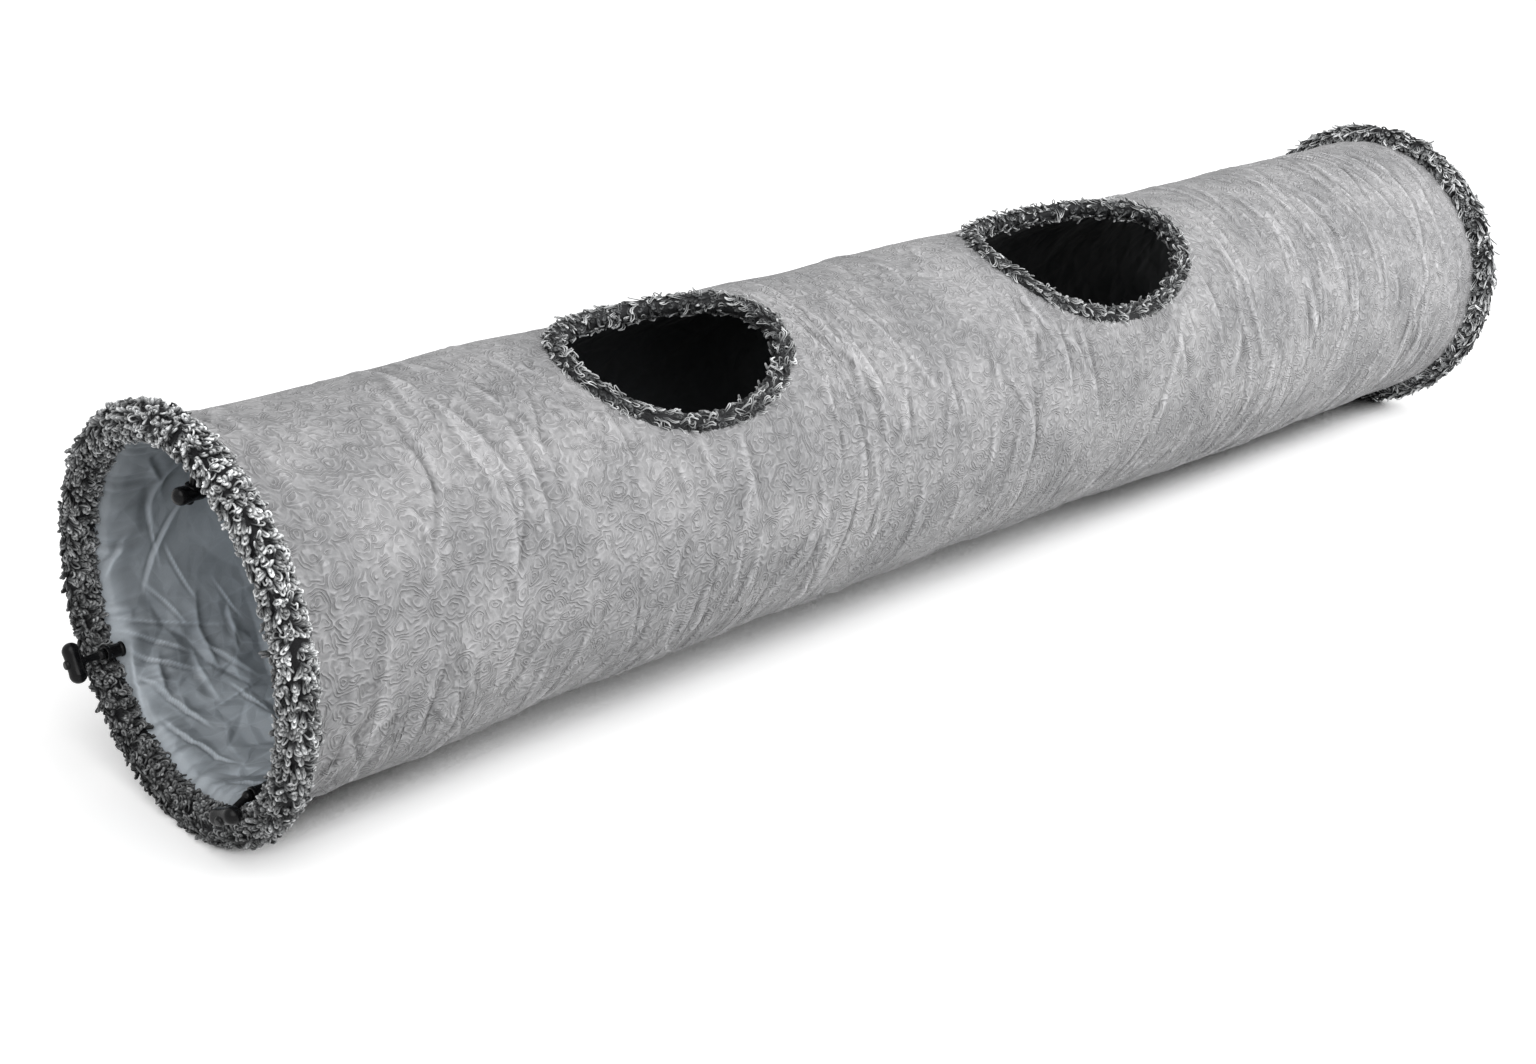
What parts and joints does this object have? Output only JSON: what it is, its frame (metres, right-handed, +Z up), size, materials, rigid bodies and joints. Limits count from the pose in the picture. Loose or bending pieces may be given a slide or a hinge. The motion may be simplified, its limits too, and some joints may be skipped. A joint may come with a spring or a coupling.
{
  "type": "collapsible play tunnel",
  "caption": "Round plush play tunnel with two peek holes, plush rims, a spring steel coil, and toggles that fasten it when it is pushed flat.",
  "frame": {"origin": "on the floor, under the middle of the rim that has the toggles", "axes": "+X along the tunnel from the toggle rim to the loop rim, +Z up, the peek holes lean towards -Y"},
  "size_m": [1.3188, 0.268, 0.266],
  "materials": {
    "cover": "matte short pile",
    "plush": "matte loop pile",
    "lining": "satin woven",
    "spring_steel": "bright drawn wire",
    "toggle_plastic": "gloss",
    "elastic": "matte cord",
    "tape": "matte woven"
  },
  "bodies": {
    "near_end": {"near_rim_binding": "plush", "near_rim_hoop": "spring_steel", "spring_coil": "spring_steel", "cover_bay_1": "cover", "lining_bay_1": "lining", "toggle_sleeve_1": "toggle_plastic", "toggle_sleeve_2": "toggle_plastic", "toggle_sleeve_3": "toggle_plastic"},
    "bay_2": {"cover_bay_2": "cover", "lining_bay_2": "lining", "hole_binding_1": "plush"},
    "bay_3": {"cover_bay_3": "cover", "lining_bay_3": "lining"},
    "bay_4": {"cover_bay_4": "cover", "lining_bay_4": "lining", "hole_binding_2": "plush"},
    "bay_5": {"cover_bay_5": "cover", "lining_bay_5": "lining"},
    "far_end": {"far_rim_binding": "plush", "far_rim_hoop": "spring_steel", "cover_bay_6": "cover", "lining_bay_6": "lining", "closing_loop_1": "elastic", "loop_tab_1": "tape", "closing_loop_2": "elastic", "loop_tab_2": "tape", "closing_loop_3": "elastic", "loop_tab_3": "tape"},
    "toggle_1": {"toggle_stem_1": "toggle_plastic"},
    "bar_1": {"toggle_bar_1": "toggle_plastic"},
    "toggle_2": {"toggle_stem_2": "toggle_plastic"},
    "bar_2": {"toggle_bar_2": "toggle_plastic"},
    "toggle_3": {"toggle_stem_3": "toggle_plastic"},
    "bar_3": {"toggle_bar_3": "toggle_plastic"}
  },
  "joints": [
    {"name": "collapse", "type": "slide", "parent": "near_end", "child": "far_end", "axis": [1, 0, 0], "range_m": [-1.21, 0], "stiffness_N_per_m": 12, "springref_m": 0.15, "deforming": ["cover_bay_1", "cover_bay_2", "cover_bay_3", "cover_bay_4", "cover_bay_5", "cover_bay_6", "lining_bay_1", "lining_bay_2", "lining_bay_3", "lining_bay_4", "lining_bay_5", "lining_bay_6", "hole_binding_1", "hole_binding_2", "spring_coil"]},
    {"name": "bay_2_gather", "type": "slide", "parent": "near_end", "child": "bay_2", "axis": [1, 0, 0], "range_m": [-0.3248, 0]},
    {"name": "bay_3_gather", "type": "slide", "parent": "near_end", "child": "bay_3", "axis": [1, 0, 0], "range_m": [-0.5189, 0]},
    {"name": "bay_4_gather", "type": "slide", "parent": "near_end", "child": "bay_4", "axis": [1, 0, 0], "range_m": [-0.73, 0]},
    {"name": "bay_5_gather", "type": "slide", "parent": "near_end", "child": "bay_5", "axis": [1, 0, 0], "range_m": [-0.9369, 0]},
    {"name": "toggle_1_swing", "type": "hinge", "parent": "near_end", "child": "toggle_1", "pos_m": [0.004, -0.02255, 0.2381], "axis": [0, -0.9781, -0.2079], "range_deg": [-65, 0], "stiffness_Nm_per_rad": 0.02},
    {"name": "bar_1_turn", "type": "hinge", "parent": "toggle_1", "child": "bar_1", "pos_m": [0.004, -0.02255, 0.2381], "axis": [-0.1736, 0.2048, -0.9633], "range_deg": [-90, 90]},
    {"name": "toggle_2_swing", "type": "hinge", "parent": "near_end", "child": "toggle_2", "pos_m": [-0.0025, -0.06701, 0.04925], "axis": [0, 0.7771, -0.6293], "range_deg": [0, 100], "stiffness_Nm_per_rad": 0.02},
    {"name": "bar_2_turn", "type": "hinge", "parent": "toggle_2", "child": "bar_2", "pos_m": [-0.0025, -0.06701, 0.04925], "axis": [-0.9397, -0.2152, -0.2658], "range_deg": [-90, 90]},
    {"name": "toggle_3_swing", "type": "hinge", "parent": "near_end", "child": "toggle_3", "pos_m": [-0.0065, 0.09312, 0.08038], "axis": [0, 0.4848, 0.8746], "range_deg": [-25, 80], "stiffness_Nm_per_rad": 0.02},
    {"name": "bar_3_turn", "type": "hinge", "parent": "toggle_3", "child": "bar_3", "pos_m": [-0.0065, 0.09312, 0.08038], "axis": [-1, 0, 0], "range_deg": [-90, 90]}
  ],
  "couplings": [
    {"joint": "bay_2_gather", "follows": "collapse", "ratio": 0.2676},
    {"joint": "bay_3_gather", "follows": "collapse", "ratio": 0.428},
    {"joint": "bay_4_gather", "follows": "collapse", "ratio": 0.6025},
    {"joint": "bay_5_gather", "follows": "collapse", "ratio": 0.7735}
  ]
}
